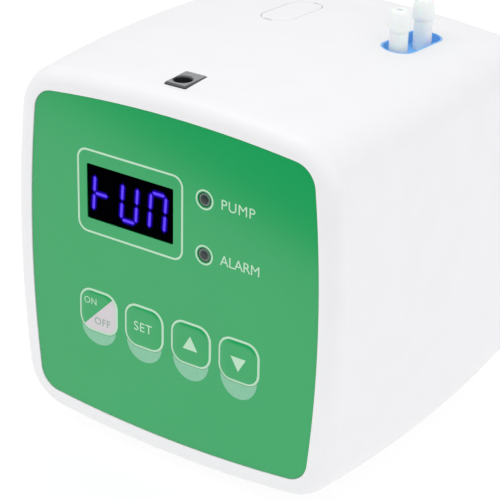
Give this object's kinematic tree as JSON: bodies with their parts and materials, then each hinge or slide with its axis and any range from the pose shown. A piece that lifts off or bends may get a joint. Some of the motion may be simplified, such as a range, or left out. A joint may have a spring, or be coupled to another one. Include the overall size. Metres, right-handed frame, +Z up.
{
  "type": "medical tubing pump",
  "caption": "Compact bedside tubing pump: crowned cubic housing, membrane front panel with digit display and soft keys, DC jack and two hose barbs on top.",
  "frame": {"origin": "on the table under the middle of the housing, at the feet's underside", "axes": "+Z up, the front panel faces -Y, +X to the viewer's right when facing the front panel"},
  "size_m": [0.1486, 0.14, 0.1644],
  "materials": {
    "white_housing": "satin, fine moulded texture",
    "rubber": "matte",
    "green_overlay": "printed polyester film, satin gloss",
    "smoked_window": "polished, dark tinted",
    "display_face": "matte with lit segments",
    "grey_moulding": "moulded",
    "black_moulding": "moulded",
    "circuit_board": "solder resist",
    "steel": "plated",
    "brass": "turned",
    "blue_moulding": "moulded, satin",
    "milky_plastic": "translucent natural polypropylene",
    "clear_tube": "translucent silicone",
    "acetal": "machined and moulded",
    "battery_wrap": "shrink wrapped"
  },
  "bodies": {
    "root": {"front_housing": "white_housing", "rear_cover": "white_housing", "blanking_cover": "white_housing", "foot_1": "rubber", "foot_2": "rubber", "foot_3": "rubber", "foot_4": "rubber", "graphic_overlay": "green_overlay", "display_lens": "smoked_window", "led_lens_pump": "smoked_window", "led_lens_alarm": "smoked_window", "display_module": "display_face", "dc_jack_housing": "grey_moulding", "buzzer": "black_moulding", "pump_head": "black_moulding", "battery_tray": "black_moulding", "tact_switch_1": "black_moulding", "tact_switch_2": "black_moulding", "tact_switch_3": "black_moulding", "tact_switch_4": "black_moulding", "control_board": "circuit_board", "cover_screw_1": "steel", "cover_screw_2": "steel", "cover_screw_3": "steel", "cover_screw_4": "steel", "board_screw_1": "steel", "board_screw_2": "steel", "board_screw_3": "steel", "board_screw_4": "steel", "dc_jack_pin": "steel", "pump_motor": "steel", "gear_plate": "steel", "standoff_1": "brass", "standoff_2": "brass", "standoff_3": "brass", "standoff_4": "brass", "port_manifold": "blue_moulding", "hose_barb_1": "milky_plastic", "hose_barb_2": "milky_plastic", "led_pump": "milky_plastic", "led_alarm": "milky_plastic", "pump_tube": "clear_tube", "pump_head_cover": "clear_tube", "battery_cell_1": "battery_wrap", "battery_cell_2": "battery_wrap", "battery_cell_3": "battery_wrap"},
    "key_on_off": {"key_on_off": "green_overlay"},
    "key_set": {"key_set": "green_overlay"},
    "key_up": {"key_up": "green_overlay"},
    "key_down": {"key_down": "green_overlay"},
    "rotor": {"pump_rotor": "acetal", "drive_gear": "acetal", "roller_pin_1": "steel", "roller_pin_2": "steel", "roller_pin_3": "steel"},
    "roller_1": {"roller_1": "acetal"},
    "roller_2": {"roller_2": "acetal"},
    "roller_3": {"roller_3": "acetal"},
    "pinion": {"motor_pinion": "brass", "motor_shaft": "steel"}
  },
  "joints": [
    {"name": "key_on_off_press", "type": "slide", "parent": "root", "child": "key_on_off", "axis": [0, 1, 0], "range_m": [0, 0.0004], "stiffness_N_per_m": 2000},
    {"name": "key_set_press", "type": "slide", "parent": "root", "child": "key_set", "axis": [0, 1, 0], "range_m": [0, 0.0004], "stiffness_N_per_m": 2000},
    {"name": "key_up_press", "type": "slide", "parent": "root", "child": "key_up", "axis": [0, 1, 0], "range_m": [0, 0.0004], "stiffness_N_per_m": 2000},
    {"name": "key_down_press", "type": "slide", "parent": "root", "child": "key_down", "axis": [0, 1, 0], "range_m": [0, 0.0004], "stiffness_N_per_m": 2000},
    {"name": "rotor_spin", "type": "hinge", "parent": "root", "child": "rotor", "pos_m": [0.0325, 0.02725, 0.10735], "axis": [1, 0, 0], "continuous": true},
    {"name": "roller_1_spin", "type": "hinge", "parent": "rotor", "child": "roller_1", "pos_m": [0.0369, 0.02725, 0.11565], "axis": [1, 0, 0], "continuous": true},
    {"name": "roller_2_spin", "type": "hinge", "parent": "rotor", "child": "roller_2", "pos_m": [0.0369, 0.02006, 0.1032], "axis": [1, 0, 0], "continuous": true},
    {"name": "roller_3_spin", "type": "hinge", "parent": "rotor", "child": "roller_3", "pos_m": [0.0369, 0.03444, 0.1032], "axis": [1, 0, 0], "continuous": true},
    {"name": "pinion_spin", "type": "hinge", "parent": "root", "child": "pinion", "pos_m": [0.022, 0.02725, 0.08655], "axis": [1, 0, 0], "continuous": true}
  ],
  "couplings": [
    {"joint": "roller_1_spin", "follows": "rotor_spin", "ratio": -3.8667},
    {"joint": "roller_2_spin", "follows": "rotor_spin", "ratio": -3.8667},
    {"joint": "roller_3_spin", "follows": "rotor_spin", "ratio": -3.8667},
    {"joint": "pinion_spin", "follows": "rotor_spin", "ratio": -3.3333}
  ]
}
